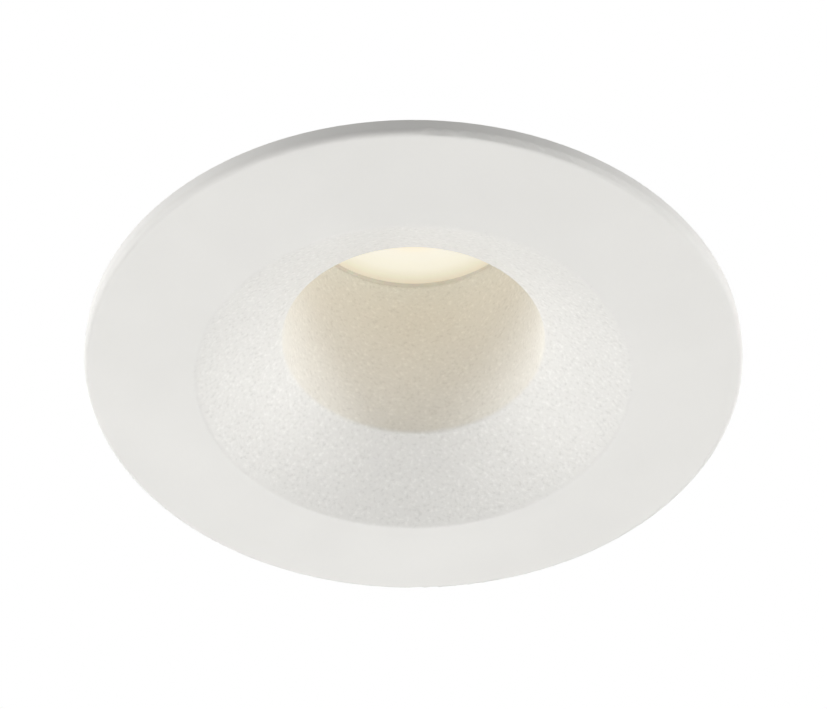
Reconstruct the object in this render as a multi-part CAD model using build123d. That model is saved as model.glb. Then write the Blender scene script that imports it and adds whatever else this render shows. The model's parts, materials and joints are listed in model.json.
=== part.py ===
"""Recessed LED downlight with a round white trim, a deep light well and two sprung ceiling clips.

Millimetres, +Z up. The origin is on the light's axis, in the plane where the gasket meets the ceiling.
The light shines down, the trim hangs below the ceiling and everything else stands above it.
"""
from build123d import *
import math
import os

# General clearances
RUNNING_GAP = 0.05
THREAD_GAP = 0.02
DROP_IN_GAP = 0.1
SIDE_GAP = 0.4

# Trim: flange, bevel cone and light well
FLANGE_LIP = 7.8
FLANGE_EDGE_T = 1.8
FLANGE_EDGE_ROUND = 0.7
FLANGE_CROWN = 0.55
BEVEL_R = 23.2
BEVEL_RISE = 5.9
APERTURE_R = 14.2
WELL_DEPTH = 22.9
WELL_TOP_R = 13.7
CASTING_WALL = 1.6
EDGE_SOFTENING = 0.3

# Collar that fills the round cut-out in the ceiling
COLLAR_R = 27.2
COLLAR_H = 4.0
COLLAR_BEAD = 0.6
RIB_COUNT = 6
RIB_T = 1.4
RIB_CLIMB = 4.0

# Ceiling gasket
GASKET_T = 1.0
GASKET_INSET = 1.5
GASKET_FIT_GAP = 0.2

# Lens and its seal
LENS_LEDGE = 1.5
LENS_T = 2.2
LENS_CHAMFER = 0.3
LENS_SEAL_T = 0.8
LENS_SEAL_STEP = 0.2

# Reflector
REFLECTOR_H = 6.2
REFLECTOR_WALL = 0.9
REFLECTOR_MOUTH_STEP = 0.3
REFLECTOR_RIM_T = 1.2

# Light source
HOLDER_R = 13.2
HOLDER_T = 2.8
HOLDER_WINDOW_GAP = 0.4
HOLDER_WINDOW_FLARE = 0.7
BOARD_SIDE = 13.5
BOARD_T = 1.0
PAD_T = 0.3
EMITTER_R = 4.6
EMITTER_T = 0.4
HOLDER_SCREW_X = 9.9
WIRE_SLOT_W = 2.6
WIRE_SLOT_DEPTH = 2.0
WIRE_SLOT_END = 12.0

# Neck that carries the heat sink
NECK_WALL = 2.9
NECK_FLARE_H = 2.2
BODY_SEAL_T = 0.9
BODY_SEAL_W = 1.2
BOSS_R = 3.0
BOSS_OUTSET = 1.8
BOSS_H = 11.0
BOSS_TAPER_H = 3.0
BOSS_COUNT = 4
BOSS_FIRST_DEG = 45.0

# Heat sink
SINK_OVERHANG = 0.4
SINK_BASE_T = 3.0
SINK_CORE_R = 8.0
FIN_H = 21.0
FIN_T = 1.3
FIN_COUNT = 20
FIN_CHAMFER = 3.0
EAR_R = 3.4
WIRE_HOLE_R = 2.5

# Screws, one thread size throughout
SCREW_R = 1.25
SCREW_CLEARANCE = 0.15
SCREW_HEAD_R = 2.2
SCREW_HEAD_H = 1.5
SCREW_CHAMFER = 0.3
SCREW_KEY_AF = 1.5
SCREW_KEY_DEPTH = 0.8
BODY_SCREW_BITE = 7.0
HOLDER_SCREW_BITE = 2.2
CLIP_SCREW_BITE = 2.2
SCREW_TIP_GAP = 0.3

# Cable gland
GLAND_THREAD_R = 4.95
GLAND_THREAD_L = 8.0
GLAND_AF = 14.0
GLAND_HEX_H = 3.5
GLAND_TOP_THREAD_R = 5.6
GLAND_TOP_THREAD_L = 5.5
GLAND_BORE_R = 3.0
GLAND_SEAL_R = 4.1
GLAND_SEAL_BORE_R = 2.6
GLAND_SEAL_L = 6.0
GLAND_NUT_R = 7.2
GLAND_NUT_WALL = 1.4
GLAND_NUT_HOLE_R = 3.3
GLAND_NUT_LIFT = 0.5
GLAND_NUT_DOME_H = 2.6
GLAND_NUT_GRIPS = 12
GLAND_NUT_GRIP_R = 0.6
GLAND_WASHER_T = 1.0
GLAND_WASHER_R = 7.4

# Ceiling clips
PAD_PROUD = 1.0
PAD_BOTTOM_Z = 5.5
PAD_LIP = 0.7
PAD_LIP_T = 1.0
SHEET_T = 1.0
SHEET_BEND_R = 0.5
PIN_R = 1.2
PIN_DROP = 9.5
PIN_HEAD_R = 2.0
PIN_HEAD_T = 0.8
WIRE_R = 0.45
COIL_R = 2.6
COIL_PITCH = 1.45
COIL_TURNS = 4
SPRING_REST_GAP = 0.3
SPRING_INNER_LEG = 7.5
SPRING_OUTER_LEG = 14.0
ARM_DROOP_DEG = 10.0
ARM_LENGTH = 26.0
ARM_ROOT_HALF_W = 6.3
ARM_TIP_HALF_W = 4.6
ARM_CHEEK_R = 3.0
ARM_CHEEK_REACH = 14.0
ARM_HEEL = 2.3
ARM_CURL_R = 2.0
ARM_CURL_DEG = 60.0
BRACKET_EAR_R = 3.0
BRACKET_FOOT_DROP = 7.0
EAR_ROOT_HALF_H = 5.5
CLIP_SCREW_Y = -2.8
CLIP_SCREW_RISE = 6.6

# Heights that follow from the sizes above
BACK_Z = -GASKET_T
EDGE_Z = BACK_Z - FLANGE_EDGE_T
BEVEL_Z = EDGE_Z - FLANGE_CROWN
APERTURE_Z = EDGE_Z + BEVEL_RISE
LEDGE_Z = APERTURE_Z + WELL_DEPTH
LENS_Z = LEDGE_Z + LENS_SEAL_T
LENS_TOP_Z = LENS_Z + LENS_T
HOLDER_Z = LENS_TOP_Z + REFLECTOR_H
NECK_TOP_Z = HOLDER_Z + HOLDER_T
SINK_FLOOR_Z = NECK_TOP_Z + SINK_BASE_T
SINK_TOP_Z = SINK_FLOOR_Z + FIN_H
GLAND_HEX_Z = SINK_TOP_Z + GLAND_WASHER_T
GLAND_RIM_Z = GLAND_HEX_Z + GLAND_HEX_H + GLAND_TOP_THREAD_L

# Radii and places that follow from the sizes above
FLANGE_R = COLLAR_R + FLANGE_LIP
BARREL_R = max(APERTURE_R, WELL_TOP_R) + CASTING_WALL
LENS_R = WELL_TOP_R + LENS_LEDGE
LENS_SEAT_R = LENS_R + DROP_IN_GAP
NECK_R = LENS_SEAT_R + NECK_WALL
NECK_FLARE_Z = LEDGE_Z - NECK_FLARE_H - SCREW_TIP_GAP
BODY_SEAL_MID_R = (LENS_SEAT_R + NECK_R) / 2
BOSS_PITCH_R = NECK_R + BOSS_OUTSET
SINK_R = NECK_R + SINK_OVERHANG
HOLDER_WINDOW_R = EMITTER_R + HOLDER_WINDOW_GAP
HOLDER_MOUTH_R = HOLDER_WINDOW_R + HOLDER_WINDOW_FLARE
REFLECTOR_THROAT_R = HOLDER_MOUTH_R + DROP_IN_GAP
REFLECTOR_MOUTH_R = WELL_TOP_R - REFLECTOR_MOUTH_STEP
SCREW_HOLE_R = SCREW_R + SCREW_CLEARANCE
PAD_X = BARREL_R + PAD_PROUD
PIN_Z = NECK_FLARE_Z - PIN_DROP
BRACKET_FACE_X = PAD_X + SHEET_T
PIN_X = BRACKET_FACE_X + SPRING_REST_GAP + WIRE_R + COIL_R
WEB_TOP = -(COIL_R + WIRE_R + SPRING_REST_GAP)
WEB_BOTTOM = WEB_TOP - SHEET_T
EAR_INNER_Y = ARM_ROOT_HALF_W + SIDE_GAP
EAR_OUTER_Y = EAR_INNER_Y + SHEET_T
PAD_LIP_Y = EAR_OUTER_Y + DROP_IN_GAP
PAD_HALF_W = PAD_LIP_Y + PAD_LIP_T
PIN_AXIS = Plane(origin=(PIN_X, 0, PIN_Z), x_dir=(1, 0, 0), z_dir=(0, -1, 0))


def turned(*corners):
    """A solid of revolution about Z from (radius, height, corner round) points."""
    line = FilletPolyline(*[(r, z) for r, z, _ in corners], radius=[c for _, _, c in corners], close=True)
    return revolve(Plane.XZ * make_face(line), Axis.Z)


def tube(inner_r, outer_r, bottom, top):
    """A plain ring between two heights."""
    return turned((inner_r, bottom, 0), (outer_r, bottom, 0), (outer_r, top, 0), (inner_r, top, 0))


def rod(radius, bottom, top, x=0.0, y=0.0):
    """An upright round bar."""
    return Pos(x, y, bottom) * Cylinder(radius, top - bottom, align=(Align.CENTER, Align.CENTER, Align.MIN))


def block(x0, x1, y0, y1, z0, z1):
    """A box between two corners."""
    return Pos((x0 + x1) / 2, (y0 + y1) / 2, (z0 + z1) / 2) * Box(x1 - x0, y1 - y0, z1 - z0)


def boss_places():
    """The heat sink's fixing points round the neck."""
    step = 360.0 / BOSS_COUNT
    angles = [math.radians(BOSS_FIRST_DEG + step * k) for k in range(BOSS_COUNT)]
    return [(BOSS_PITCH_R * math.cos(a), BOSS_PITCH_R * math.sin(a)) for a in angles]


def cap_screw(shank):
    """A low-head hex-socket screw along +Z: its seat is at z = 0 and its shank points down."""
    head = rod(SCREW_HEAD_R, 0, SCREW_HEAD_H)
    head = chamfer(head.edges().group_by(Axis.Z)[-1], SCREW_CHAMFER)
    key = extrude(RegularPolygon(SCREW_KEY_AF / 2, 6, major_radius=False), SCREW_KEY_DEPTH)
    key = Pos(0, 0, SCREW_HEAD_H - SCREW_KEY_DEPTH) * key
    body = rod(SCREW_R, -shank, 0)
    body = chamfer(body.edges().group_by(Axis.Z)[0], SCREW_CHAMFER)
    return head + body - key


def cone_back_z(radius):
    """Height of the bevel cone's hidden side, one casting wall above its shown side."""
    slope = (APERTURE_Z - BEVEL_Z) / (BEVEL_R - APERTURE_R)
    return BEVEL_Z + (BEVEL_R - radius) * slope + CASTING_WALL * math.hypot(1, slope)


def cone_back_r(height):
    """Radius at which the bevel cone's hidden side passes a height."""
    slope = (APERTURE_Z - BEVEL_Z) / (BEVEL_R - APERTURE_R)
    return BEVEL_R - (height - BEVEL_Z - CASTING_WALL * math.hypot(1, slope)) / slope


def trim_shell():
    """Flange, bevel cone, light well, lens seat and neck as one turned wall."""
    soft = EDGE_SOFTENING
    return turned(
        (FLANGE_R, BACK_Z, 0),
        (FLANGE_R, EDGE_Z, FLANGE_EDGE_ROUND),
        (BEVEL_R, BEVEL_Z, soft),
        (APERTURE_R, APERTURE_Z, soft),
        (WELL_TOP_R, LEDGE_Z, 0),
        (LENS_SEAT_R, LEDGE_Z, 0),
        (LENS_SEAT_R, NECK_TOP_Z, 0),
        (NECK_R, NECK_TOP_Z, 0),
        (NECK_R, NECK_FLARE_Z + NECK_FLARE_H, 0),
        (BARREL_R, NECK_FLARE_Z, 0),
        (BARREL_R, cone_back_z(BARREL_R), soft),
        (cone_back_r(BACK_Z), BACK_Z, 0),
    )


def collar():
    """The short wall that locates the trim in the ceiling's cut-out, with a bead at its foot."""
    inner = COLLAR_R - CASTING_WALL
    return turned(
        (inner, BACK_Z - FLANGE_EDGE_T / 2, 0),
        (COLLAR_R + COLLAR_BEAD, BACK_Z - FLANGE_EDGE_T / 2, 0),
        (COLLAR_R + COLLAR_BEAD, 0, 0),
        (COLLAR_R, 0, 0),
        (COLLAR_R, COLLAR_H, 0),
        (inner, COLLAR_H, 0),
    )


def stiffening_ribs():
    """Radial webs from the barrel down to the collar, clear of the clips."""
    inner, outer = BARREL_R - CASTING_WALL / 2, COLLAR_R - CASTING_WALL / 2
    foot = BACK_Z - FLANGE_EDGE_T / 4
    outline = Polyline(
        (inner, cone_back_z(BARREL_R) - CASTING_WALL / 2),
        (cone_back_r(BACK_Z), foot),
        (outer, foot),
        (outer, COLLAR_H),
        (inner, COLLAR_H + RIB_CLIMB),
        close=True,
    )
    rib = extrude(Plane.XZ * make_face(outline), RIB_T / 2, both=True)
    step = 360.0 / RIB_COUNT
    return [Rot(0, 0, step * (k + 0.5)) * rib for k in range(RIB_COUNT)]


def screw_bosses():
    """Pillars on the neck for the heat sink's screws, tapered at their feet."""
    top, foot = NECK_TOP_Z, NECK_TOP_Z - BOSS_H
    pillar = turned(
        (0, foot - BOSS_TAPER_H, 0),
        (BOSS_R / 2, foot - BOSS_TAPER_H, 0),
        (BOSS_R, foot, 0),
        (BOSS_R, top, 0),
        (0, top, 0),
    )
    return [Pos(x, y, 0) * pillar for x, y in boss_places()]


def clip_pad(side):
    """Flat seat for a clip bracket on the barrel, with a lip along each edge."""
    inner = BARREL_R - CASTING_WALL / 2
    top = NECK_FLARE_Z
    pad = block(0, PAD_X, -PAD_HALF_W, PAD_HALF_W, PAD_BOTTOM_Z, top)
    for sign in (-1, 1):
        edges = sorted((sign * PAD_LIP_Y, sign * PAD_HALF_W))
        pad += block(PAD_X - PAD_LIP, PAD_X + PAD_LIP, edges[0], edges[1], PAD_BOTTOM_Z, top)
    pad -= rod(inner, PAD_BOTTOM_Z, top)
    return pad if side > 0 else mirror(pad, Plane.YZ)


def clip_screw_hole(side, radius, x0, x1):
    """A round cutter along X through a clip's screw place."""
    start = Plane(origin=(x0, CLIP_SCREW_Y, PIN_Z + CLIP_SCREW_RISE), z_dir=(1, 0, 0))
    cutter = start * Cylinder(radius, x1 - x0, align=(Align.CENTER, Align.CENTER, Align.MIN))
    return cutter if side > 0 else mirror(cutter, Plane.YZ)


def trim_bezel():
    body = trim_shell() + collar()
    body = body.fuse(*stiffening_ribs(), *screw_bosses(), clip_pad(1), clip_pad(-1)).clean()
    body -= rod(LENS_SEAT_R, LEDGE_Z, NECK_TOP_Z)
    groove_in = BODY_SEAL_MID_R - BODY_SEAL_W / 2
    groove_out = BODY_SEAL_MID_R + BODY_SEAL_W / 2
    body -= tube(groove_in, groove_out, NECK_TOP_Z - BODY_SEAL_T, NECK_TOP_Z)
    hole_r, hole_depth = SCREW_R + THREAD_GAP, BODY_SCREW_BITE + SCREW_TIP_GAP
    for x, y in boss_places():
        body -= rod(hole_r, NECK_TOP_Z - hole_depth, NECK_TOP_Z, x, y)
    for side in (1, -1):
        body -= clip_screw_hole(side, hole_r, PAD_X - CLIP_SCREW_BITE - SCREW_TIP_GAP, PAD_X)
    return body


def ceiling_gasket():
    return tube(COLLAR_R + COLLAR_BEAD + GASKET_FIT_GAP, FLANGE_R - GASKET_INSET, BACK_Z, 0)


def lens_seal():
    return tube(WELL_TOP_R + LENS_SEAL_STEP, LENS_R, LEDGE_Z, LENS_Z)


def lens():
    disc = rod(LENS_R, LENS_Z, LENS_TOP_Z)
    return chamfer(disc.edges().filter_by(GeomType.CIRCLE), LENS_CHAMFER)


def reflector():
    """White cup from the lens up to the light source, with a rim that holds the lens down."""
    rim_top = LENS_TOP_Z + REFLECTOR_RIM_T
    rim_share = REFLECTOR_RIM_T / REFLECTOR_H
    rim_inner = REFLECTOR_MOUTH_R + (REFLECTOR_THROAT_R - REFLECTOR_MOUTH_R) * rim_share
    return turned(
        (REFLECTOR_MOUTH_R, LENS_TOP_Z, 0),
        (LENS_R - DROP_IN_GAP, LENS_TOP_Z, 0),
        (LENS_R - DROP_IN_GAP, rim_top, 0),
        (rim_inner + REFLECTOR_WALL, rim_top, 0),
        (REFLECTOR_THROAT_R + REFLECTOR_WALL, HOLDER_Z, 0),
        (REFLECTOR_THROAT_R, HOLDER_Z, 0),
    )


def led_holder():
    """Plastic clamp with a pocket for the board, a flared window and two sunk screw seats."""
    body = rod(HOLDER_R, HOLDER_Z, NECK_TOP_Z)
    half = BOARD_SIDE / 2 + DROP_IN_GAP
    board_z = NECK_TOP_Z - PAD_T - BOARD_T
    body -= block(-half, half, -half, half, board_z, NECK_TOP_Z)
    body -= turned(
        (0, HOLDER_Z, 0),
        (HOLDER_MOUTH_R, HOLDER_Z, 0),
        (HOLDER_WINDOW_R, board_z, 0),
        (0, board_z, 0),
    )
    for sign in (-1, 1):
        x = sign * HOLDER_SCREW_X
        body -= rod(SCREW_HOLE_R, HOLDER_Z, NECK_TOP_Z, x)
        body -= rod(SCREW_HEAD_R + DROP_IN_GAP, HOLDER_Z, HOLDER_Z + SCREW_HEAD_H, x)
    wire_way = block(-WIRE_SLOT_W / 2, WIRE_SLOT_W / 2, half + CASTING_WALL, HOLDER_R, HOLDER_Z, NECK_TOP_Z)
    return body - wire_way


def led_board():
    top = NECK_TOP_Z - PAD_T
    half = BOARD_SIDE / 2
    return block(-half, half, -half, half, top - BOARD_T, top)


def led_emitter():
    top = NECK_TOP_Z - PAD_T - BOARD_T
    disc = rod(EMITTER_R, top - EMITTER_T, top)
    return chamfer(disc.edges().group_by(Axis.Z)[0], EMITTER_T / 2)


def thermal_pad():
    half = BOARD_SIDE / 2
    return block(-half, half, -half, half, NECK_TOP_Z - PAD_T, NECK_TOP_Z)


def led_screws():
    shank = HOLDER_T - SCREW_HEAD_H + HOLDER_SCREW_BITE
    screw = Rot(180, 0, 0) * cap_screw(shank)
    seat = HOLDER_Z + SCREW_HEAD_H
    return [Pos(sign * HOLDER_SCREW_X, 0, seat) * screw for sign in (-1, 1)]


def body_seal():
    half = BODY_SEAL_W / 2
    return tube(BODY_SEAL_MID_R - half, BODY_SEAL_MID_R + half, NECK_TOP_Z - BODY_SEAL_T, NECK_TOP_Z)


def heat_sink():
    """Base plate with four ears, a round core and radial fins whose top corners slope in."""
    base = rod(SINK_R, NECK_TOP_Z, SINK_FLOOR_Z)
    ears = [rod(EAR_R, NECK_TOP_Z, SINK_FLOOR_Z, x, y) for x, y in boss_places()]
    core = rod(SINK_CORE_R, SINK_FLOOR_Z, SINK_TOP_Z)
    root = SINK_CORE_R - FIN_T
    outline = Polyline(
        (root, SINK_FLOOR_Z - SINK_BASE_T / 2),
        (SINK_R, SINK_FLOOR_Z - SINK_BASE_T / 2),
        (SINK_R, SINK_TOP_Z - FIN_CHAMFER),
        (SINK_R - FIN_CHAMFER, SINK_TOP_Z),
        (root, SINK_TOP_Z),
        close=True,
    )
    fin = extrude(Plane.XZ * make_face(outline), FIN_T / 2, both=True)
    fins = [Rot(0, 0, 360.0 / FIN_COUNT * k) * fin for k in range(FIN_COUNT)]
    body = base.fuse(*ears, core, *fins).clean()
    thread_z = SINK_TOP_Z - GLAND_THREAD_L - SCREW_TIP_GAP
    body -= rod(GLAND_THREAD_R + RUNNING_GAP, thread_z, SINK_TOP_Z)
    body -= rod(WIRE_HOLE_R, NECK_TOP_Z, thread_z)
    half = WIRE_SLOT_W / 2
    body -= block(-half, half, 0, WIRE_SLOT_END, NECK_TOP_Z, NECK_TOP_Z + WIRE_SLOT_DEPTH)
    for x, y in boss_places():
        body -= rod(SCREW_HOLE_R, NECK_TOP_Z, SINK_FLOOR_Z, x, y)
    for sign in (-1, 1):
        top = NECK_TOP_Z + HOLDER_SCREW_BITE + SCREW_TIP_GAP
        body -= rod(SCREW_R + THREAD_GAP, NECK_TOP_Z, top, sign * HOLDER_SCREW_X)
    return body


def body_screws():
    screw = cap_screw(SINK_BASE_T + BODY_SCREW_BITE)
    return [Pos(x, y, SINK_FLOOR_Z) * screw for x, y in boss_places()]


def gland_washer():
    return tube(GLAND_THREAD_R + RUNNING_GAP, GLAND_WASHER_R, SINK_TOP_Z, GLAND_HEX_Z)


def gland_body():
    """Threaded stem, hexagon and upper thread, bored through and widened for its rubber insert."""
    hex_top = GLAND_HEX_Z + GLAND_HEX_H
    stem = rod(GLAND_THREAD_R, SINK_TOP_Z - GLAND_THREAD_L, GLAND_HEX_Z)
    hexagon = extrude(RegularPolygon(GLAND_AF / 2, 6, major_radius=False), GLAND_HEX_H)
    upper = rod(GLAND_TOP_THREAD_R, hex_top, GLAND_RIM_Z)
    body = stem + Pos(0, 0, GLAND_HEX_Z) * hexagon + upper
    body -= rod(GLAND_BORE_R, SINK_TOP_Z - GLAND_THREAD_L, GLAND_RIM_Z)
    return body - rod(GLAND_SEAL_R + DROP_IN_GAP, hex_top, GLAND_RIM_Z)


def gland_seal():
    bottom = GLAND_HEX_Z + GLAND_HEX_H
    return tube(GLAND_SEAL_BORE_R, GLAND_SEAL_R, bottom, bottom + GLAND_SEAL_L)


def gland_nut():
    """Domed cap nut with grip flutes round its skirt."""
    bottom = GLAND_HEX_Z + GLAND_HEX_H + GLAND_NUT_LIFT
    inside = GLAND_HEX_Z + GLAND_HEX_H + GLAND_SEAL_L + DROP_IN_GAP
    shoulder = inside + GLAND_NUT_WALL
    top = shoulder + GLAND_NUT_DOME_H
    thread_r = GLAND_TOP_THREAD_R + RUNNING_GAP
    body = turned(
        (thread_r, bottom, 0),
        (GLAND_NUT_R, bottom, 0),
        (GLAND_NUT_R, shoulder, GLAND_NUT_WALL),
        (GLAND_NUT_HOLE_R + GLAND_NUT_WALL, top, 0),
        (GLAND_NUT_HOLE_R, top, 0),
        (GLAND_NUT_HOLE_R, inside, 0),
        (thread_r, inside, 0),
    )
    step = 2 * math.pi / GLAND_NUT_GRIPS
    for k in range(GLAND_NUT_GRIPS):
        x, y = GLAND_NUT_R * math.cos(step * k), GLAND_NUT_R * math.sin(step * k)
        body -= rod(GLAND_NUT_GRIP_R, bottom, inside, x, y)
    return body


def clip_bracket():
    """Bent sheet on the pad: a back plate with a screw hole and two ears for the pin."""
    front = PIN_X + BRACKET_EAR_R
    foot, top = PIN_Z - BRACKET_FOOT_DROP, NECK_FLARE_Z
    channel = FilletPolyline(
        (front, EAR_OUTER_Y),
        (PAD_X, EAR_OUTER_Y),
        (PAD_X, -EAR_OUTER_Y),
        (front, -EAR_OUTER_Y),
        (front, -EAR_INNER_Y),
        (BRACKET_FACE_X, -EAR_INNER_Y),
        (BRACKET_FACE_X, EAR_INNER_Y),
        (front, EAR_INNER_Y),
        radius=[0, SHEET_T + SHEET_BEND_R, SHEET_T + SHEET_BEND_R, 0, 0, SHEET_BEND_R, SHEET_BEND_R, 0],
        close=True,
    )
    sheet = Pos(0, 0, foot) * extrude(make_face(channel), top - foot)
    back = Polyline(
        (PAD_X - PIN_X, foot - PIN_Z),
        (BRACKET_FACE_X + SHEET_BEND_R - PIN_X, foot - PIN_Z),
        (BRACKET_FACE_X + SHEET_BEND_R - PIN_X, top - PIN_Z),
        (PAD_X - PIN_X, top - PIN_Z),
        close=True,
    )
    root = Line((BRACKET_FACE_X - PIN_X, -EAR_ROOT_HALF_H), (BRACKET_FACE_X - PIN_X, EAR_ROOT_HALF_H))
    ear = make_hull(Circle(BRACKET_EAR_R).edges() + root.edges())
    side = make_face(back) + ear
    body = sheet & (PIN_AXIS * extrude(side, EAR_OUTER_Y, both=True))
    body -= PIN_AXIS * Cylinder(PIN_R, 4 * EAR_OUTER_Y)
    return body - clip_screw_hole(1, SCREW_HOLE_R, PAD_X, BRACKET_FACE_X)


def clip_pin():
    """Riveted pin: a bar with a flat head against each ear."""
    length = 2 * (EAR_OUTER_Y + PIN_HEAD_T)
    bar = Cylinder(PIN_R, length)
    head = Cylinder(PIN_HEAD_R, PIN_HEAD_T)
    offset = EAR_OUTER_Y + PIN_HEAD_T / 2
    return PIN_AXIS * (bar + Pos(0, 0, offset) * head + Pos(0, 0, -offset) * head)


def clip_arm():
    """Stamped arm: a flat web under the spring, two cheeks on the pin and an upturned, tapered tip."""
    curl = math.radians(ARM_CURL_DEG)
    curl_start = ARM_LENGTH - (ARM_CURL_R + SHEET_T) * math.sin(curl)
    centre = (curl_start, WEB_TOP + ARM_CURL_R)
    inner = CenterArc(centre, ARM_CURL_R, -90, ARM_CURL_DEG)
    outer = CenterArc(centre, ARM_CURL_R + SHEET_T, -90, ARM_CURL_DEG)
    strip = make_face(
        [
            Line((-ARM_HEEL, WEB_TOP), inner @ 0),
            inner,
            Line(inner @ 1, outer @ 1),
            outer,
            Line(outer @ 0, (-ARM_HEEL, WEB_BOTTOM)),
            Line((-ARM_HEEL, WEB_BOTTOM), (-ARM_HEEL, WEB_TOP)),
        ]
    )
    web = extrude(strip, ARM_ROOT_HALF_W, both=True)
    plan = FilletPolyline(
        (-ARM_HEEL, -ARM_ROOT_HALF_W),
        (ARM_CHEEK_REACH, -ARM_ROOT_HALF_W),
        (ARM_LENGTH + SHEET_T, -ARM_TIP_HALF_W),
        (ARM_LENGTH + SHEET_T, ARM_TIP_HALF_W),
        (ARM_CHEEK_REACH, ARM_ROOT_HALF_W),
        (-ARM_HEEL, ARM_ROOT_HALF_W),
        radius=[0, 0, ARM_CURL_R, ARM_CURL_R, 0, 0],
        close=True,
    )
    lengthwise = Plane(origin=(0, 2 * WEB_BOTTOM, 0), x_dir=(1, 0, 0), z_dir=(0, 1, 0))
    web &= lengthwise * extrude(make_face(plan), 4 * abs(WEB_BOTTOM))
    lower_edge = Line((-ARM_HEEL, WEB_BOTTOM), (ARM_CHEEK_REACH, WEB_BOTTOM))
    upper_end = Line((ARM_CHEEK_REACH, WEB_BOTTOM), (ARM_CHEEK_REACH, WEB_TOP))
    cheek = make_hull(Circle(ARM_CHEEK_R).edges() + lower_edge.edges() + upper_end.edges())
    cheeks = extrude(cheek, ARM_ROOT_HALF_W, both=True)
    cheeks -= Box(8 * ARM_LENGTH, 8 * ARM_LENGTH, 2 * (ARM_ROOT_HALF_W - SHEET_T))
    body = web + cheeks - Cylinder(PIN_R + RUNNING_GAP, 4 * ARM_ROOT_HALF_W)
    return PIN_AXIS * (Rot(0, 0, -ARM_DROOP_DEG) * body)


def biarc(start, start_dir, end, end_dir):
    """Two arcs that join two points and keep both end directions."""
    chord = end - start
    both = start_dir + end_dir
    spread = 2 * (1 - start_dir.dot(end_dir))
    reach = (math.sqrt(chord.dot(both) ** 2 + spread * chord.dot(chord)) - chord.dot(both)) / spread
    first, last = start + start_dir * reach, end - end_dir * reach
    middle = (first + last) * 0.5
    return [
        TangentArc(start, middle, tangent=start_dir),
        TangentArc(middle, end, tangent=(last - first).normalized()),
    ]


def coil_point(turn_angle, total):
    """Centre of the spring wire and its direction, by angle wound from the inner leg."""
    angle = math.pi + turn_angle
    rise = COIL_PITCH / (2 * math.pi)
    place = Vector(COIL_R * math.cos(angle), COIL_R * math.sin(angle), rise * (turn_angle - total / 2))
    along = Vector(-COIL_R * math.sin(angle), COIL_R * math.cos(angle), rise)
    return place, along.normalized()


def clip_spring():
    """Torsion spring round the pin: one leg up the back plate, one leg out along the arm's web."""
    total = 2 * math.pi * COIL_TURNS + math.pi / 2 - math.radians(ARM_DROOP_DEG)
    quarters = 4 * COIL_TURNS + 1
    stops = [coil_point(total * k / quarters, total) for k in range(quarters + 1)]
    first, first_dir = stops[0]
    last, last_dir = stops[-1]
    edges = [Line(first - first_dir * SPRING_INNER_LEG, first)]
    for (a, a_dir), (b, b_dir) in zip(stops, stops[1:]):
        edges += biarc(a, a_dir, b, b_dir)
    edges.append(Line(last, last + last_dir * SPRING_OUTER_LEG))
    path = Wire([edge.edge() for edge in edges])
    section = Plane(origin=path @ 0, z_dir=path % 0) * Circle(WIRE_R)
    print("spring wire length", round(path.length, 1), "least gap", round(least_gap(path), 2))
    return PIN_AXIS * sweep(section, path=path)


def least_gap(path):
    """The smallest clear distance between two turns of the spring wire."""
    count = 400
    points = [path @ (k / count) for k in range(count + 1)]
    apart = int(count * math.pi * COIL_R / path.length)
    pairs = [(a, b) for k, a in enumerate(points) for b in points[k + apart:]]
    return min((a - b).length for a, b in pairs) - 2 * WIRE_R


def clip_screw():
    seat = Plane(origin=(BRACKET_FACE_X, CLIP_SCREW_Y, PIN_Z + CLIP_SCREW_RISE), z_dir=(1, 0, 0))
    return seat * cap_screw(SHEET_T + CLIP_SCREW_BITE)


def both_sides(maker):
    """A clip piece for the right side and its mirror image for the left."""
    right = maker()
    return right, mirror(right, Plane.YZ)


def all_parts():
    parts = {
        "trim_bezel": trim_bezel(),
        "ceiling_gasket": ceiling_gasket(),
        "lens_seal": lens_seal(),
        "lens": lens(),
        "reflector": reflector(),
        "led_holder": led_holder(),
        "led_board": led_board(),
        "led_emitter": led_emitter(),
        "led_screws": led_screws(),
        "thermal_pad": thermal_pad(),
        "body_seal": body_seal(),
        "heat_sink": heat_sink(),
        "body_screws": body_screws(),
        "gland_washer": gland_washer(),
        "gland_body": gland_body(),
        "gland_seal": gland_seal(),
        "gland_nut": gland_nut(),
        "clip_screws": list(both_sides(clip_screw)),
    }
    clip_makers = {"bracket": clip_bracket, "pin": clip_pin, "arm": clip_arm, "spring": clip_spring}
    for piece, maker in clip_makers.items():
        right, left = both_sides(maker)
        parts[f"right_clip_{piece}"] = right
        parts[f"left_clip_{piece}"] = left
    return parts


def main():
    os.makedirs("parts", exist_ok=True)
    for name, shape in all_parts().items():
        if isinstance(shape, list):
            shape = Compound([solid for piece in shape for solid in piece.solids()])
        export_step(shape, f"parts/{name}.step")


main()
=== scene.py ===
"""Recessed LED downlight: finishes, fine pieces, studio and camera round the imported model. Metres, +Z up."""
import json
import math

import bpy
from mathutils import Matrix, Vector, noise

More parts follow.
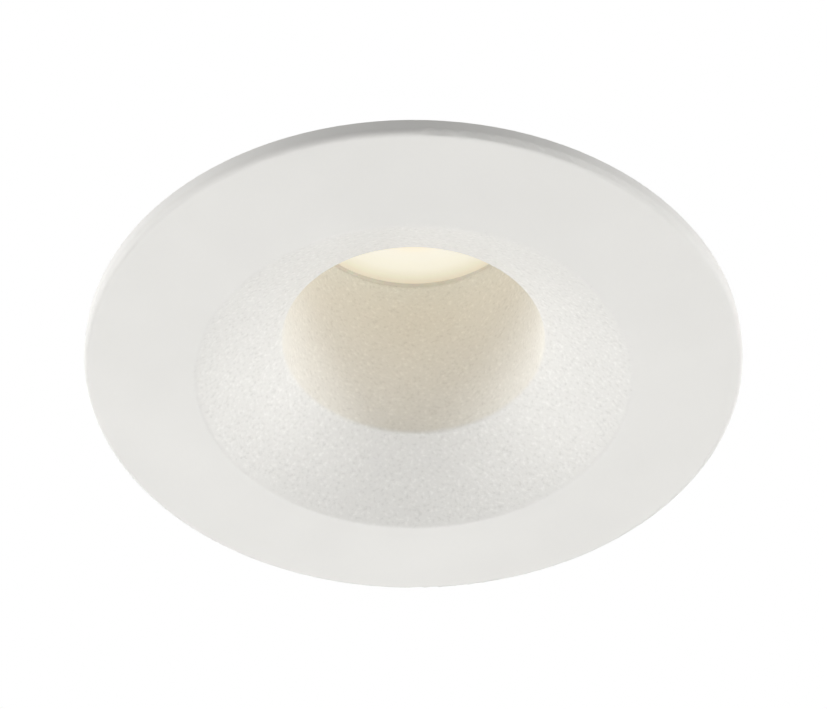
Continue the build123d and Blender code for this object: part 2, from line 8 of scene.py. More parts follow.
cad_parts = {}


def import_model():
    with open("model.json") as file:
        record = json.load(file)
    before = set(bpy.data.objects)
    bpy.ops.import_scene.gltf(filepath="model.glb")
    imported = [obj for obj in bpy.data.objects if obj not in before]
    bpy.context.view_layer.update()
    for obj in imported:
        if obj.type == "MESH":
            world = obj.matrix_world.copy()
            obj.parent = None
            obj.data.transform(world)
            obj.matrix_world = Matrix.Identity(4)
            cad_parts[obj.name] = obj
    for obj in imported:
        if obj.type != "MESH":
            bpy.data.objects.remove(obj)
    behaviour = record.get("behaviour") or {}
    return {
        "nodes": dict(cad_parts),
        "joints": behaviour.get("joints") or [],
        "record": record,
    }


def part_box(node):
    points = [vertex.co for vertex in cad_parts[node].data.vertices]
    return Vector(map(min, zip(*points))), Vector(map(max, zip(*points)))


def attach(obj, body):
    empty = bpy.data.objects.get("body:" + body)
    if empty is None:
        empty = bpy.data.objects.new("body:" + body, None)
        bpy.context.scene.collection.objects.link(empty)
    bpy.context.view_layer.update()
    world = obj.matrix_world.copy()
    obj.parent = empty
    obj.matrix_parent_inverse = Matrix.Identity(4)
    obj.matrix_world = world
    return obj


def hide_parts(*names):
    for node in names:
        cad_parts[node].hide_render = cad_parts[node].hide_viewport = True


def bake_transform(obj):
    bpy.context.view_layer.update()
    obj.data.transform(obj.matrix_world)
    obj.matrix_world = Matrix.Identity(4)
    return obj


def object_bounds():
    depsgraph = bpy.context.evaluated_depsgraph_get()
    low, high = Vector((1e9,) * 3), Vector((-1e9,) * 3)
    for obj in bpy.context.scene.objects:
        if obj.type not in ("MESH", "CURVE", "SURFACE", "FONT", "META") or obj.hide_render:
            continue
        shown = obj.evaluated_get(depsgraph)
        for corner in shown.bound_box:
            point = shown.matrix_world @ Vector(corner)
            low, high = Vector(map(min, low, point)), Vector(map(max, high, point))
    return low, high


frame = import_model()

CAD_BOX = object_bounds()
MM = 0.001

# Picture frame and camera, fitted to the photograph's outline of the flange
IMAGE_W = 827
SENSOR_W_MM = 36.0
FOCAL_PX = 2463.5
CAMERA_ELEVATION_DEG = -43.7
CAMERA_RADII_AWAY = 7.5
CAMERA_CLIP_START = 0.01
AIM_LIFT_RAD = 0.0115
FACE_EDGE_Z = -2.8 * MM

# Powder coat of the trim: speck tones by height, paler on raised specks as a painted glint and darker in pits
# as painted shade, and a grain that calms down past the bevel
COAT_GRAIN_SCALE = 2400.0
COAT_DRIFT_SCALE = 60.0
COAT_DRIFT = 0.02
COAT_SPREAD = 0.22
COAT_RELIEF = 0.05 * MM
COAT_TONES_WITH_PAINTED_GLINT_AND_PIT_SHADE = (
    (0.0, (0.765, 0.755, 0.725)),
    (0.37, (0.846, 0.836, 0.806)),
    (0.63, (0.846, 0.836, 0.806)),
    (1.0, (0.925, 0.915, 0.885)),
)
CALM_FROM_R = 22.5 * MM
CALM_TO_R = 24.0 * MM
CALM_GRAIN = 0.2

# Soft edges of the trim: wide at the aperture, narrow at the flange
APERTURE_ROUND = 0.7 * MM
FLANGE_ROUND = 0.15 * MM
ROUND_FROM_R = 20.0 * MM
ROUND_TO_R = 30.0 * MM
EDGE_SAMPLES = 6

# Lens glow: share of the way from its middle to its rim, and colour
LENS_GLOW = (
    (0.30, (0.9, 0.62, 0.28)),
    (0.60, (0.65, 0.63, 0.545)),
    (0.76, (0.625, 0.6, 0.49)),
    (0.90, (0.48, 0.435, 0.325)),
)
LENS_GLOW_STRENGTH = 1.07

# Foam gasket behind the flange
GASKET_HOLE_R = 28.0 * MM
GASKET_CORNER = 0.22 * MM
GASKET_CORNER_STEPS = 4
GASKET_SIDE_STEPS = 10
GASKET_TURN_STEPS = 240
FOAM_DIP = 0.06 * MM
FOAM_LUMP = 1.6 * MM

# Clip springs
WIRE_R = 0.45 * MM
WIRE_END_ROUND = 0.12 * MM
WIRE_SIDES = 16
COIL_R = 2.6 * MM
COIL_PITCH = 1.45 * MM
COIL_TURNS = 4
COIL_TURN_STEPS = 48
INNER_LEG = 7.5 * MM
OUTER_LEG = 14.0 * MM
LEG_STEPS = 10
ARM_DROOP_DEG = 10.0

# Studio: ceiling, floor and sky
CEILING_INNER_R = 30.0 * MM
CEILING_OUTER_R = 700.0 * MM
CEILING_STEPS = 128
FLOOR_GAP = 0.05 * MM
FLOOR_BOUNCE = 0.9
FLOOR_SIDE = 9.0
FLOOR_FADE_FROM = 0.12
FLOOR_FADE_TO = 0.5
FLOOR_WHITE_AT = 4.0
FLOOR_HAZE = 0.78
SKY_STRENGTH = 0.6
SKY_FULL_AT = 0.3

# Soft boxes: azimuth and elevation in degrees, metres away, side in metres, watts
SOFT_BOXES = {
    "right_box": (10.0, -22.0, 0.75, 0.35, 2.2),
    "right_low_box": (10.0, -34.0, 0.75, 0.35, 1.6),
    "right_front_box": (-30.0, -46.0, 0.75, 0.35, 1.24),
    "left_box": (172.0, -22.0, 0.75, 0.35, 4.0),
    "left_front_box": (210.0, -46.0, 0.75, 0.35, 1.0),
    "back_box": (105.0, -46.0, 0.35, 0.2, 0.16),
    "loft_right_box": (0.0, 45.0, 0.9, 1.2, 1.6),
    "loft_left_box": (180.0, 45.0, 0.9, 1.2, 2.6),
}

nodes = frame["nodes"]
FLANGE_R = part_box("trim_bezel")[1].x
LENS_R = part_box("lens")[1].x


class Shader:
    """A new node material with short ways to add and link nodes."""

    def __init__(self, name):
        self.material = bpy.data.materials.new(name)
        self.material.use_nodes = True
        self.tree = self.material.node_tree
        self.surface = self.tree.nodes["Principled BSDF"]
        self.output = self.tree.nodes["Material Output"]

    def add(self, kind, **values):
        node = self.tree.nodes.new(kind)
        for key, value in values.items():
            if key in node.inputs:
                node.inputs[key].default_value = value
            else:
                setattr(node, key, value)
        return node

    def link(self, source, target):
        self.tree.links.new(source, target)

    def place(self):
        """Object coordinates in metres."""
        return self.add("ShaderNodeTexCoord").outputs["Object"]

    def stretched(self, vector, stretch):
        node = self.add("ShaderNodeMapping")
        node.inputs["Scale"].default_value = stretch
        self.link(vector, node.inputs["Vector"])
        return node.outputs["Vector"]

    def from_axis(self, vector):
        """Metres from the upright axis."""
        node = self.add("ShaderNodeVectorMath", operation="LENGTH")
        self.link(self.stretched(vector, (1.0, 1.0, 0.0)), node.inputs[0])
        return node.outputs["Value"]

    def noise(self, vector, scale, detail=3.0, roughness=0.55):
        node = self.add("ShaderNodeTexNoise", Scale=scale, Detail=detail, Roughness=roughness)
        self.link(vector, node.inputs["Vector"])
        return node.outputs["Fac"]

    def cells(self, vector, scale, smoothness):
        node = self.add("ShaderNodeTexVoronoi", feature="SMOOTH_F1", Scale=scale, Smoothness=smoothness)
        self.link(vector, node.inputs["Vector"])
        return node.outputs["Distance"]

    def ranged(self, value, low, high, from_low=0.3, from_high=0.7):
        node = self.add("ShaderNodeMapRange")
        node.inputs["From Min"].default_value = from_low
        node.inputs["From Max"].default_value = from_high
        node.inputs["To Min"].default_value = low
        node.inputs["To Max"].default_value = high
        self.link(value, node.inputs["Value"])
        return node.outputs["Result"]

    def mix(self, value, low, high):
        """A colour between two colours."""
        node = self.add("ShaderNodeMix", data_type="RGBA")
        node.inputs[6].default_value = (*low, 1.0)
        node.inputs[7].default_value = (*high, 1.0)
        self.link(value, node.inputs[0])
        return node.outputs[2]

    def ramp(self, value, stops):
        """A colour that runs through (position, colour) stops."""
        node = self.add("ShaderNodeValToRGB")
        elements = node.color_ramp.elements
        for index, (position, colour) in enumerate(stops):
            element = elements[index] if index < 2 else elements.new(position)
            element.position = position
            element.color = (*colour, 1.0)
        self.link(value, node.inputs["Fac"])
        return node.outputs["Color"]

    def times(self, first, second):
        """One colour multiplied by another."""
        node = self.add("ShaderNodeMix", data_type="RGBA", blend_type="MULTIPLY")
        node.inputs[0].default_value = 1.0
        self.link(first, node.inputs[6])
        self.link(second, node.inputs[7])
        return node.outputs[2]

    def bump(self, height, distance, strength=1.0, below=None):
        node = self.add("ShaderNodeBump", Strength=strength, Distance=distance)
        self.link(height, node.inputs["Height"])
        if below is not None:
            self.link(below, node.inputs["Normal"])
        return node.outputs["Normal"]

    def soft_edges(self, radius):
        """Normals that roll over the sharp edges."""
        return self.add("ShaderNodeBevel", samples=EDGE_SAMPLES, Radius=radius).outputs["Normal"]

    def either(self, factor, first, second):
        """The first shader where the factor is 0, the second where it is 1."""
        node = self.add("ShaderNodeMixShader")
        self.link(factor, node.inputs[0])
        self.link(first, node.inputs[1])
        self.link(second, node.inputs[2])
        return node.outputs[0]

    def set(self, **values):
        for key, value in values.items():
            self.surface.inputs[key.replace("_", " ")].default_value = value

    def feed(self, **sources):
        for key, source in sources.items():
            self.link(source, self.surface.inputs[key.replace("_", " ")])

    def tint(self, value, dark, light):
        """Base colour that drifts from dark to light with a noise."""
        self.feed(Base_Color=self.mix(self.ranged(value, 0.0, 1.0), dark, light))

    def rough(self, value, low, high):
        """Roughness that drifts from low to high with a noise."""
        self.feed(Roughness=self.ranged(value, low, high))


def textured_white(name):
    """Off-white powder coat: raised specks in the cone, well and neck, smoother out on the flange. The colour
    is painted paler on raised specks as a glint and darker in pits as shade.
    """
    s = Shader(name)
    place = s.place()
    radius = s.from_axis(place)
    grain = s.noise(place, COAT_GRAIN_SCALE, detail=2.0, roughness=0.5)
    centred = s.add("ShaderNodeMath", operation="SUBTRACT")
    centred.inputs[1].default_value = 0.5
    s.link(grain, centred.inputs[0])
    calmed = s.add("ShaderNodeMath", operation="MULTIPLY")
    s.link(centred.outputs[0], calmed.inputs[0])
    s.link(s.ranged(radius, 1.0, CALM_GRAIN, CALM_FROM_R, CALM_TO_R), calmed.inputs[1])
    height = calmed.outputs[0]
    # Colour follows grain height: the coat's own speckle, plus a painted glint on raised specks and painted
    # shade in the pits
    grain_tone_glint_and_pit_shade = s.ramp(s.ranged(height, 0.0, 1.0, -COAT_SPREAD, COAT_SPREAD), COAT_TONES_WITH_PAINTED_GLINT_AND_PIT_SHADE)
    cloud = s.ranged(s.noise(place, COAT_DRIFT_SCALE, detail=2.0), 0.0, 1.0)
    drift = s.mix(cloud, [1.0 - COAT_DRIFT] * 3, [1.0 + COAT_DRIFT] * 3)
    s.feed(Base_Color=s.times(grain_tone_glint_and_pit_shade, drift))
    s.rough(grain, 0.48, 0.62)
    edges = s.add("ShaderNodeBevel", samples=EDGE_SAMPLES)
    rounding = s.ranged(radius, APERTURE_ROUND, FLANGE_ROUND, ROUND_FROM_R, ROUND_TO_R)
    s.link(rounding, edges.inputs["Radius"])
    s.feed(Normal=s.bump(height, COAT_RELIEF, below=edges.outputs["Normal"]))
    return s.material


def frosted_lens(name):
    """Frosted disc lit from behind: brightest in the middle, warmer and dimmer towards its rim."""
    s = Shader(name)
    place = s.place()
    outward = s.ranged(s.from_axis(place), 0.0, 1.0, 0.0, LENS_R)
    s.feed(Emission_Color=s.ramp(outward, LENS_GLOW))
    s.set(Emission_Strength=LENS_GLOW_STRENGTH, Base_Color=(0.45, 0.44, 0.41, 1.0))
    frost = s.noise(place, scale=3000.0)
    s.rough(frost, 0.45, 0.65)
    s.feed(Normal=s.bump(frost, 0.02 * MM, strength=0.4))
    return s.material


def moulded(name, dark, light, roughness, grain_depth):
    """Moulded plastic with a fine spark-eroded grain and faint flow clouds."""
    s = Shader(name)
    place = s.place()
    grain = s.noise(place, scale=3600.0)
    flow = s.noise(s.stretched(place, (1.0, 1.0, 0.35)), scale=140.0)
    s.tint(flow, dark, light)
    s.rough(grain, roughness - 0.08, roughness + 0.08)
    s.feed(Normal=s.bump(grain, grain_depth, strength=0.6, below=s.soft_edges(0.15 * MM)))
    return s.material


def rubber(name, dark, light):
    """Matte rubber with a dusty bloom."""
    s = Shader(name)
    place = s.place()
    grain = s.noise(place, scale=5200.0, detail=4.0)
    bloom = s.noise(place, scale=260.0, detail=4.0, roughness=0.65)
    s.tint(bloom, dark, light)
    s.rough(bloom, 0.72, 0.9)
    s.feed(Normal=s.bump(grain, 0.03 * MM, strength=0.6, below=s.soft_edges(0.1 * MM)))
    return s.material


def foam(name):
    """Closed-cell foam: small open cells in a matte black skin, painted darker in the cells as shade in the
    pits.
    """
    s = Shader(name)
    place = s.place()
    cell = s.cells(place, scale=3400.0, smoothness=0.3)
    patch = s.noise(place, scale=420.0)
    # Painted shade: the colour is darker towards the middle of each cell, where the bump sinks into a pit
    pale = s.ranged(cell, 0.0, 1.0, from_low=0.1, from_high=0.6)
    s.feed(Base_Color=s.mix(pale, (0.016, 0.016, 0.018), (0.05, 0.05, 0.055)))
    s.rough(patch, 0.85, 0.98)
    s.set(Specular_IOR_Level=0.2)
    s.feed(Normal=s.bump(cell, 0.16 * MM, strength=0.9))
    return s.material


def silicone(name):
    """Milky translucent seal."""
    s = Shader(name)
    place = s.place()
    cloud = s.noise(place, scale=320.0)
    skin = s.noise(place, scale=4000.0, detail=2.0)
    s.tint(cloud, (0.74, 0.73, 0.69), (0.82, 0.81, 0.78))
    s.rough(cloud, 0.34, 0.46)
    s.set(Subsurface_Weight=0.35, Subsurface_Scale=0.6 * MM)
    s.feed(Normal=s.bump(skin, 0.015 * MM, strength=0.5))
    return s.material


def cast_metal(name, dark, light):
    """Die-cast aluminium, lightly blasted, with faint flow marks up the fins."""
    s = Shader(name)
    place = s.place()
    blast = s.noise(place, scale=3800.0)
    pitting = s.cells(place, scale=900.0, smoothness=0.8)
    flow = s.noise(s.stretched(place, (1.0, 1.0, 0.22)), scale=210.0, detail=4.0, roughness=0.6)
    s.tint(flow, dark, light)
    s.rough(flow, 0.36, 0.52)
    s.set(Metallic=1.0)
    waves = s.bump(pitting, 0.06 * MM, strength=0.35, below=s.soft_edges(0.2 * MM))
    s.feed(Normal=s.bump(blast, 0.04 * MM, strength=0.6, below=waves))
    return s.material


def bare_plate(name, dark, light):
    """Flat rolled aluminium with fine brush lines along X."""
    s = Shader(name)
    lines = s.noise(s.stretched(s.place(), (0.04, 1.0, 1.0)), scale=5200.0)
    s.tint(lines, dark, light)
    s.rough(lines, 0.3, 0.46)
    s.set(Metallic=1.0)
    s.feed(Normal=s.bump(lines, 0.01 * MM, strength=0.5, below=s.soft_edges(0.08 * MM)))
    return s.material


def zinc_sheet(name, dark, light):
    """Zinc-plated sheet: cloudy passivation over rolling lines along the arm."""
    s = Shader(name)
    place = s.place()
    cloud = s.noise(place, scale=330.0, detail=5.0, roughness=0.6)
    rolling = s.noise(s.stretched(place, (0.05, 1.0, 0.4)), scale=3000.0)
    s.tint(cloud, dark, light)
    s.rough(cloud, 0.24, 0.42)
    s.set(Metallic=1.0)
    s.feed(Normal=s.bump(rolling, 0.012 * MM, strength=0.6, below=s.soft_edges(0.15 * MM)))
    return s.material


def turned_steel(name, dark, light):
    """Bright steel with fine tool marks and soft edges."""
    s = Shader(name)
    place = s.place()
    marks = s.noise(s.stretched(place, (1.0, 1.0, 3.0)), scale=4200.0, detail=2.0)
    stain = s.noise(place, scale=500.0, detail=4.0)
    s.tint(stain, dark, light)
    s.rough(stain, 0.22, 0.38)
    s.set(Metallic=1.0)
    s.feed(Normal=s.bump(marks, 0.01 * MM, strength=0.6, below=s.soft_edges(0.1 * MM)))
    return s.material


def drawn_wire(name, dark, light):
    """Spring wire with die lines that follow it."""
    s = Shader(name)
    along = s.add("ShaderNodeTexCoord").outputs["UV"]
    lines = s.noise(s.stretched(along, (0.3, 40.0, 1.0)), scale=1.0)
    stain = s.noise(s.place(), scale=700.0, detail=4.0)
    s.tint(stain, dark, light)
    s.rough(lines, 0.2, 0.36)
    s.set(Metallic=1.0)
    s.feed(Normal=s.bump(lines, 0.015 * MM, strength=0.6))
    return s.material


def phosphor_gel(name):
    """Yellow phosphor layer with a slightly uneven poured surface."""
    s = Shader(name)
    pour = s.noise(s.place(), scale=700.0)
    s.tint(pour, (0.86, 0.62, 0.12), (0.94, 0.74, 0.22))
    s.rough(pour, 0.3, 0.42)
    s.feed(Normal=s.bump(pour, 0.05 * MM, strength=0.4))
    return s.material


def finishes():
    """The record's material slots: maker, dark and light colour and, for plastics, roughness and grain."""
    makers = {
        "textured_white": (textured_white,),
        "frosted_lens": (frosted_lens,),
        "black_foam": (foam,),
        "clear_silicone": (silicone,),
        "reflector_white": (moulded, (0.87, 0.87, 0.86), (0.91, 0.91, 0.9), 0.35, 0.01 * MM),
        "holder_plastic": (moulded, (0.8, 0.79, 0.75), (0.86, 0.85, 0.81), 0.55, 0.03 * MM),
        "board_plate": (bare_plate, (0.74, 0.74, 0.72), (0.84, 0.84, 0.82)),
        "phosphor": (phosphor_gel,),
        "pad_grey": (rubber, (0.3, 0.32, 0.35), (0.38, 0.4, 0.43)),
        "sink_aluminium": (cast_metal, (0.62, 0.63, 0.64), (0.76, 0.77, 0.78)),
        "screw_steel": (turned_steel, (0.46, 0.46, 0.46), (0.6, 0.6, 0.6)),
        "pin_steel": (turned_steel, (0.38, 0.38, 0.385), (0.5, 0.5, 0.5)),
        "spring_steel": (drawn_wire, (0.42, 0.42, 0.43), (0.56, 0.56, 0.57)),
        "bracket_zinc": (zinc_sheet, (0.4, 0.425, 0.46), (0.56, 0.56, 0.545)),
        "arm_zinc": (zinc_sheet, (0.44, 0.465, 0.5), (0.6, 0.6, 0.585)),
        "gland_nylon": (moulded, (0.02, 0.02, 0.022), (0.034, 0.034, 0.037), 0.48, 0.04 * MM),
        "gland_rubber": (rubber, (0.024, 0.024, 0.024), (0.042, 0.042, 0.042)),
    }
    return {slot: maker(slot, *values) for slot, (maker, *values) in makers.items()}


def eye_ray(tree):
    """1 where the camera looks, directly or by gloss or glass, and 0 for light that falls on the object."""
    path = tree.nodes.new("ShaderNodeLightPath")
    seen = path.outputs["Is Camera Ray"]
    for kind in ("Is Glossy Ray", "Is Transmission Ray"):
        either = tree.nodes.new("ShaderNodeMath")
        either.operation = "MAXIMUM"
        tree.links.new(seen, either.inputs[0])
        tree.links.new(path.outputs[kind], either.inputs[1])
        seen = either.outputs[0]
    return seen


def ceiling_board(name):
    """White to the eye from below. From above it is clear to the camera and a pale glow to other rays."""
    s = Shader(name)
    s.tree.nodes.remove(s.surface)
    seen = eye_ray(s.tree)
    direct = s.add("ShaderNodeLightPath").outputs["Is Camera Ray"]
    clear = s.add("ShaderNodeBsdfTransparent").outputs[0]
    white = s.add("ShaderNodeEmission", Strength=1.0).outputs[0]
    bounce = s.add("ShaderNodeEmission", Strength=FLOOR_BOUNCE).outputs[0]
    from_above = s.add("ShaderNodeNewGeometry").outputs["Backfacing"]
    board = s.either(from_above, s.either(seen, clear, white), s.either(direct, bounce, clear))
    s.link(board, s.output.inputs["Surface"])
    return s.material


def pale_floor(name):
    """Pale and matte with the object's shadow for the camera above it, white far off. Other rays pass."""
    s = Shader(name)
    place = s.place()
    radius = s.from_axis(place)
    cloud = s.noise(place, scale=3.0, detail=2.0)
    s.feed(Base_Color=s.mix(cloud, (0.88, 0.88, 0.875), (0.9, 0.9, 0.895)))
    s.set(Roughness=0.9)
    seen = s.add("ShaderNodeLightPath").outputs["Is Camera Ray"]
    clear = s.add("ShaderNodeBsdfTransparent").outputs[0]
    from_below = s.add("ShaderNodeNewGeometry").outputs["Backfacing"]
    haze = s.add("ShaderNodeEmission")
    s.link(s.ranged(radius, FLOOR_HAZE, 1.0, FLOOR_FADE_TO, FLOOR_WHITE_AT), haze.inputs["Strength"])
    far = s.ranged(radius, 0.0, 1.0, FLOOR_FADE_FROM, FLOOR_FADE_TO)
    pale = s.either(far, s.surface.outputs[0], haze.outputs[0])
    sheet = s.either(from_below, s.either(seen, clear, pale), clear)
    s.link(sheet, s.output.inputs["Surface"])
    return s.material


def new_mesh(name, points, faces, smooth=True):
    mesh = bpy.data.meshes.new(name)
    mesh.from_pydata(points, [], faces)
    mesh.polygons.foreach_set("use_smooth", [smooth] * len(mesh.polygons))
    mesh.update()
    piece = bpy.data.objects.new(name, mesh)
    bpy.context.scene.collection.objects.link(piece)
    return piece


def paint(piece, material):
    piece.data.materials.clear()
    piece.data.materials.append(material)


def even_normals(piece):
    """Lets the large flat faces lead the shading, so the narrow rounds beside them stay clean."""
    modifier = piece.modifiers.new("even_normals", "WEIGHTED_NORMAL")
    modifier.mode = "FACE_AREA_WITH_ANGLE"
    modifier.weight = 100
    modifier.keep_sharp = True


def rounded_loop(inner, outer, bottom, top):
    """The gasket's cross-section: a rectangle with rounded corners and points along its two long sides."""
    loop = []
    centres = (
        (outer - GASKET_CORNER, bottom + GASKET_CORNER, -90.0),
        (outer - GASKET_CORNER, top - GASKET_CORNER, 0.0),
        (inner + GASKET_CORNER, top - GASKET_CORNER, 90.0),
        (inner + GASKET_CORNER, bottom + GASKET_CORNER, 180.0),
    )
    for index, (r, z, start) in enumerate(centres):
        for k in range(GASKET_CORNER_STEPS + 1):
            angle = math.radians(start + 90.0 * k / GASKET_CORNER_STEPS)
            loop.append((r + GASKET_CORNER * math.cos(angle), z + GASKET_CORNER * math.sin(angle)))
        if index in (1, 3):
            last_r, last_z = loop[-1]
            next_r = centres[(index + 1) % 4][0]
            for k in range(1, GASKET_SIDE_STEPS):
                loop.append((last_r + (next_r - last_r) * k / GASKET_SIDE_STEPS, last_z))
    return loop


def ring_grid(turns, rows):
    """Quads of a closed ring of cross-sections."""
    faces = []
    for k in range(turns):
        here, there = k * rows, (k + 1) % turns * rows
        faces += [(here + j, there + j, there + (j + 1) % rows, here + (j + 1) % rows) for j in range(rows)]
    return faces


def foam_gasket(material):
    """Soft ring between the flange and the ceiling, with rounded edges and an uneven foam skin."""
    low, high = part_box("ceiling_gasket")
    loop = rounded_loop(GASKET_HOLE_R, high.x, low.z, high.z)
    middle_r, middle_z = (GASKET_HOLE_R + high.x) / 2, (low.z + high.z) / 2
    points = []
    for k in range(GASKET_TURN_STEPS):
        angle = 2 * math.pi * k / GASKET_TURN_STEPS
        for r, z in loop:
            spot = Vector((r * math.cos(angle), r * math.sin(angle), z))
            dip = FOAM_DIP * (0.5 + 0.5 * noise.noise(spot / FOAM_LUMP))
            sunk_r = r - math.copysign(dip, r - middle_r)
            sunk_z = z - math.copysign(dip, z - middle_z)
            points.append((sunk_r * math.cos(angle), sunk_r * math.sin(angle), sunk_z))
    piece = new_mesh("foam_gasket", points, ring_grid(GASKET_TURN_STEPS, len(loop)))
    paint(piece, material)
    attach(piece, "housing")
    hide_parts("ceiling_gasket")


def spring_line():
    """Points along the wire about its pin: a leg up the back plate, the coil and a leg out along the arm."""
    total = 2 * math.pi * COIL_TURNS + math.pi / 2 - math.radians(ARM_DROOP_DEG)
    rise = COIL_PITCH / (2 * math.pi)
    count = COIL_TURN_STEPS * COIL_TURNS
    coil = []
    for k in range(count + 1):
        wound = total * k / count
        angle = math.pi + wound
        along_pin = rise * (total / 2 - wound)
        coil.append(Vector((COIL_R * math.cos(angle), along_pin, COIL_R * math.sin(angle))))
    first_way = Vector((0.0, -rise, -COIL_R)).normalized()
    end_angle = math.pi + total
    last_way = Vector((-COIL_R * math.sin(end_angle), -rise, COIL_R * math.cos(end_angle))).normalized()
    inner = [coil[0] - first_way * INNER_LEG * (1 - k / LEG_STEPS) for k in range(LEG_STEPS)]
    outer = [coil[-1] + last_way * OUTER_LEG * (k + 1) / LEG_STEPS for k in range(LEG_STEPS)]
    return inner + coil + outer


def wire_rings(line):
    """Centre, direction and radius of each ring of the wire, which narrows a little at both ends."""
    ways = [(b - a).normalized() for a, b in zip(line, line[1:])]
    ways.append(ways[-1])
    rings = [(line[0], ways[0], WIRE_R - WIRE_END_ROUND)]
    rings += [(point, way, WIRE_R) for point, way in zip(line, ways)]
    rings[1] = (line[0] + ways[0] * WIRE_END_ROUND, ways[0], WIRE_R)
    rings[-1] = (line[-1] - ways[-1] * WIRE_END_ROUND, ways[-1], WIRE_R)
    rings.append((line[-1], ways[-1], WIRE_R - WIRE_END_ROUND))
    return rings


def map_along(piece, rings):
    """A map that runs along the wire in millimetres and once round it."""
    lengths = [0.0]
    for (a, _, _), (b, _, _) in zip(rings, rings[1:]):
        lengths.append(lengths[-1] + (b - a).length / MM)
    layer = piece.data.uv_layers.new(name="along")
    for face in piece.data.polygons:
        turns = [vertex % WIRE_SIDES for vertex in face.vertices]
        wraps = len(turns) == 4 and 0 in turns and WIRE_SIDES - 1 in turns
        for loop, vertex, turn in zip(face.loop_indices, face.vertices, turns):
            if wraps and turn == 0:
                turn = WIRE_SIDES
            layer.data[loop].uv = (lengths[vertex // WIRE_SIDES], turn / WIRE_SIDES)


def wire_tube(name, line):
    """A round wire along a line of points, closed at both ends and mapped along its length."""
    rings = wire_rings(line)
    across = rings[0][1].orthogonal().normalized()
    points = []
    for point, way, radius in rings:
        across = (across - way * across.dot(way)).normalized()
        beside = way.cross(across)
        for k in range(WIRE_SIDES):
            angle = 2 * math.pi * k / WIRE_SIDES
            points.append(point + radius * (math.cos(angle) * across + math.sin(angle) * beside))
    faces = []
    for j in range(len(rings) - 1):
        row, following = j * WIRE_SIDES, (j + 1) * WIRE_SIDES
        for k in range(WIRE_SIDES):
            next_k = (k + 1) % WIRE_SIDES
            faces.append((row + k, row + next_k, following + next_k, following + k))
    faces.append(tuple(reversed(range(WIRE_SIDES))))
    faces.append(tuple(range(len(points) - WIRE_SIDES, len(points))))
    piece = new_mesh(name, points, faces)
    map_along(piece, rings)
    return piece


def clip_springs(material):
    """Both torsion springs: each wound between the housing and its arm."""
    line = spring_line()
    for joint in frame["joints"]:
        pin = Vector(joint["pos_m"])
        side = math.copysign(1.0, pin.x)
        arm = joint["child"]
        node = arm.replace("_arm", "_clip_spring")
        placed = [pin + Vector((side * p.x, p.y, p.z)) for p in line]
        piece = wire_tube(node + "_wire", placed)
        paint(piece, material)
        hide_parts(node)
        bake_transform(piece)


def ceiling():
    """A ring of ceiling round the trim, seen from below only, so the body stays open to view from above."""
    count = CEILING_STEPS
    ring = [2 * math.pi * k / count for k in range(count)]
    radii = (CEILING_INNER_R, CEILING_OUTER_R)
    points = [(r * math.cos(a), r * math.sin(a), 0.0) for r in radii for a in ring]
    faces = [(k, (k + 1) % count, count + (k + 1) % count, count + k) for k in range(count)]
    piece = new_mesh("ceiling", points, faces, smooth=False)
    paint(piece, ceiling_board("ceiling_board"))


def floor():
    """What the light rests on, face down, in views from above. From below, the eye looks through it."""
    half = FLOOR_SIDE / 2
    corners = [(-half, -half), (half, -half), (half, half), (-half, half)]
    level = CAD_BOX[0][2] - FLOOR_GAP
    piece = new_mesh("floor", [(x, y, level) for x, y in corners], [(0, 1, 2, 3)], smooth=False)
    paint(piece, pale_floor("pale_floor"))


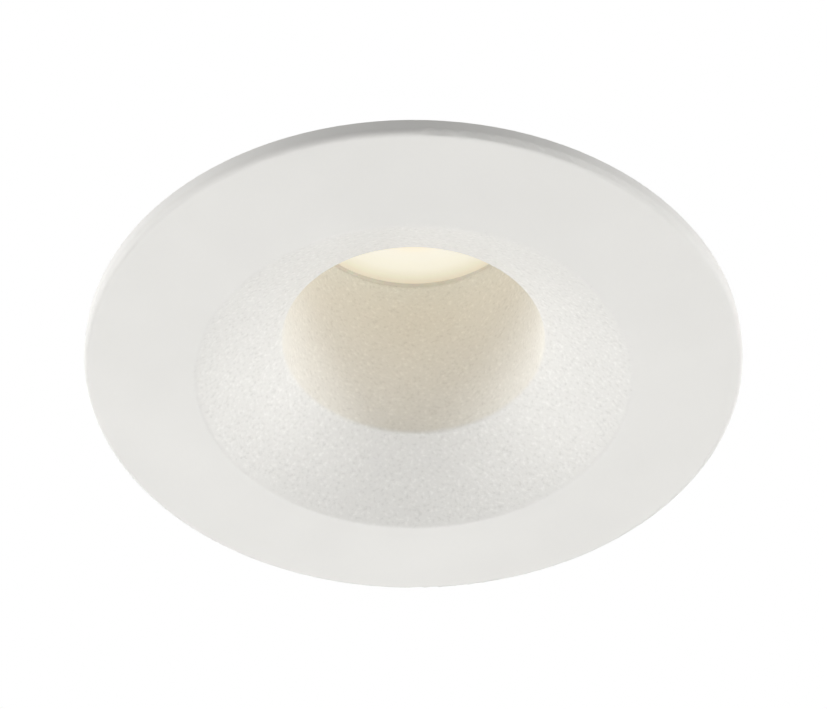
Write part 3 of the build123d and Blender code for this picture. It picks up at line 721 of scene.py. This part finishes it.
def world():
    """White to the eye, a soft even light from above the horizon on the object."""
    scene_world = bpy.data.worlds.new("studio")
    bpy.context.scene.world = scene_world
    scene_world.use_nodes = True
    tree = scene_world.node_tree
    dim = tree.nodes["Background"]
    dim.inputs["Color"].default_value = (1.0, 1.0, 1.0, 1.0)
    toward = tree.nodes.new("ShaderNodeSeparateXYZ")
    tree.links.new(tree.nodes.new("ShaderNodeTexCoord").outputs["Generated"], toward.inputs[0])
    upward = tree.nodes.new("ShaderNodeMapRange")
    upward.inputs["From Min"].default_value = 0.0
    upward.inputs["From Max"].default_value = SKY_FULL_AT
    upward.inputs["To Min"].default_value = 0.0
    upward.inputs["To Max"].default_value = SKY_STRENGTH
    tree.links.new(toward.outputs["Z"], upward.inputs["Value"])
    tree.links.new(upward.outputs["Result"], dim.inputs["Strength"])
    white = tree.nodes.new("ShaderNodeBackground")
    white.inputs["Color"].default_value = (1.0, 1.0, 1.0, 1.0)
    white.inputs["Strength"].default_value = 1.0
    either = tree.nodes.new("ShaderNodeMixShader")
    tree.links.new(eye_ray(tree), either.inputs[0])
    tree.links.new(dim.outputs[0], either.inputs[1])
    tree.links.new(white.outputs[0], either.inputs[2])
    tree.links.new(either.outputs[0], tree.nodes["World Output"].inputs["Surface"])


def soft_box(name, azimuth_deg, elevation_deg, away, side, power):
    """A square lamp that faces the trim. Azimuth 0 is +X and 90 is +Y, away from the main camera."""
    light = bpy.data.lights.new(name, "AREA")
    light.shape = "SQUARE"
    light.size = side
    light.energy = power
    azimuth, elevation = math.radians(azimuth_deg), math.radians(elevation_deg)
    level = math.cos(elevation)
    outward = Vector((level * math.cos(azimuth), level * math.sin(azimuth), math.sin(elevation)))
    lamp = bpy.data.objects.new(name, light)
    lamp.location = away * outward
    lamp.rotation_euler = (-outward).to_track_quat("-Z", "Y").to_euler()
    bpy.context.scene.collection.objects.link(lamp)


def camera():
    """Looks up at the trim from below, as in the photograph, with the near edge at the top."""
    data = bpy.data.cameras.new("camera")
    data.lens = FOCAL_PX * SENSOR_W_MM / IMAGE_W
    data.sensor_width = SENSOR_W_MM
    data.clip_start = CAMERA_CLIP_START
    eye = bpy.data.objects.new("camera", data)
    angle = math.radians(CAMERA_ELEVATION_DEG)
    face_centre = Vector((0.0, 0.0, FACE_EDGE_Z))
    reach = CAMERA_RADII_AWAY * FLANGE_R
    eye.location = face_centre + reach * Vector((0.0, -math.cos(angle), math.sin(angle)))
    tilt = AIM_LIFT_RAD - angle
    aim = Vector((0.0, math.cos(tilt), math.sin(tilt)))
    eye.rotation_euler = aim.to_track_quat("-Z", "Y").to_euler()
    bpy.context.scene.collection.objects.link(eye)
    bpy.context.scene.camera = eye


finish = finishes()
for subpart in frame["record"]["subparts"]:
    node = nodes[subpart["node"]]
    paint(node, finish[subpart["material_slot"]])
    even_normals(node)
foam_gasket(finish["black_foam"])
clip_springs(finish["spring_steel"])

ceiling()
floor()
world()
for name, placing in SOFT_BOXES.items():
    soft_box(name, *placing)
camera()
bpy.context.scene.view_settings.view_transform = "Standard"
